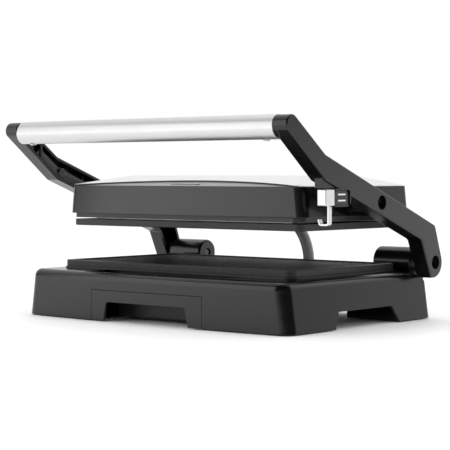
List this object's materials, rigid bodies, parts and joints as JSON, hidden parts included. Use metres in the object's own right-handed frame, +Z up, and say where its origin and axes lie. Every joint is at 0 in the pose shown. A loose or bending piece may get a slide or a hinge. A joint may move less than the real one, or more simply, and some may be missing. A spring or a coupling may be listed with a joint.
{
  "type": "panini press",
  "caption": "Contact grill with a hinged head on two cranked arms, oval bar handle, ribbed plates, side latch and a slide-out drip tray.",
  "frame": {"origin": "middle of the footprint, on the surface the press stands on", "axes": "+Z up, +X to the user's right, the front with the handle and drip tray faces -Y"},
  "size_m": [0.3416, 0.236, 0.1845],
  "materials": {
    "gloss_black": "gloss",
    "matte_black": "matte",
    "cast_plate": "textured non-stick coating",
    "brushed_metal": "satin",
    "silver_cover": "brushed",
    "steel": "polished",
    "sheet_metal": "satin",
    "rubber": "matte",
    "sleeve": "woven satin",
    "smoked_lens": "gloss",
    "white_print": "matte",
    "moulded": "matte"
  },
  "bodies": {
    "base": {"barrel_screws": "steel", "base_bottom_cover": "matte_black", "base_conduit_gland": "matte_black", "base_housing": "gloss_black", "base_screws": "steel", "conduit": "sleeve", "cord_gland": "matte_black", "foot_pads": "rubber", "hinge_barrel_left": "matte_black", "hinge_barrel_right": "matte_black", "lower_element": "steel", "lower_plate": "cast_plate", "lower_plate_screws": "steel", "lower_reflector": "sheet_metal", "lower_seat": "matte_black", "terminal_block": "matte_black", "thermostat": "moulded", "tray_runners": "matte_black"},
    "hinge": {"hinge_pin_left": "steel", "hinge_pin_right": "steel", "pin_screws": "steel"},
    "arms": {"arm_left": "gloss_black", "arm_right": "gloss_black", "arm_cover_left": "matte_black", "arm_cover_right": "matte_black", "arm_cover_screws": "steel", "arm_stiffeners": "steel", "handle_tube": "brushed_metal", "handle_plugs": "matte_black", "handle_screws": "steel", "pivot_pin_left": "steel", "pivot_pin_right": "steel", "latch_pad": "matte_black", "latch_bracket": "matte_black"},
    "latch": {"latch_block": "steel", "latch_hook": "steel", "latch_button": "matte_black", "latch_marks": "white_print"},
    "head": {"upper_housing": "gloss_black", "top_cover": "silver_cover", "front_fascia": "silver_cover", "indicator_window": "smoked_lens", "upper_trim": "matte_black", "upper_reflector": "sheet_metal", "upper_element": "steel", "upper_plate": "cast_plate", "upper_plate_screws": "steel", "thermal_fuse": "moulded", "pivot_boss_left": "matte_black", "pivot_boss_right": "matte_black", "head_conduit_gland": "matte_black"},
    "drip_tray": {"drip_tray_panel": "gloss_black", "drip_tray_pan": "matte_black", "tray_screws": "steel"}
  },
  "joints": [
    {"name": "lid_open", "type": "hinge", "parent": "base", "child": "hinge", "pos_m": [0, 0.1064, 0.0532], "axis": [-1, 0, 0], "range_deg": [0, 90], "deforming": ["conduit"]},
    {"name": "head_press", "type": "hinge", "parent": "hinge", "child": "arms", "pos_m": [0, 0.1064, 0.0532], "axis": [1, 0, 0], "range_deg": [0, 19.7]},
    {"name": "head_level", "type": "hinge", "parent": "arms", "child": "head", "pos_m": [0, 0.0188, 0.1098], "axis": [1, 0, 0], "range_deg": [-19.7, 0]},
    {"name": "latch_slide", "type": "slide", "parent": "arms", "child": "latch", "axis": [0, -1, 0], "range_m": [0, 0.008]},
    {"name": "tray_slide", "type": "slide", "parent": "base", "child": "drip_tray", "axis": [0, -1, 0], "range_m": [0, 0.09]}
  ],
  "couplings": [
    {"joint": "head_level", "follows": "head_press", "ratio": -1}
  ]
}
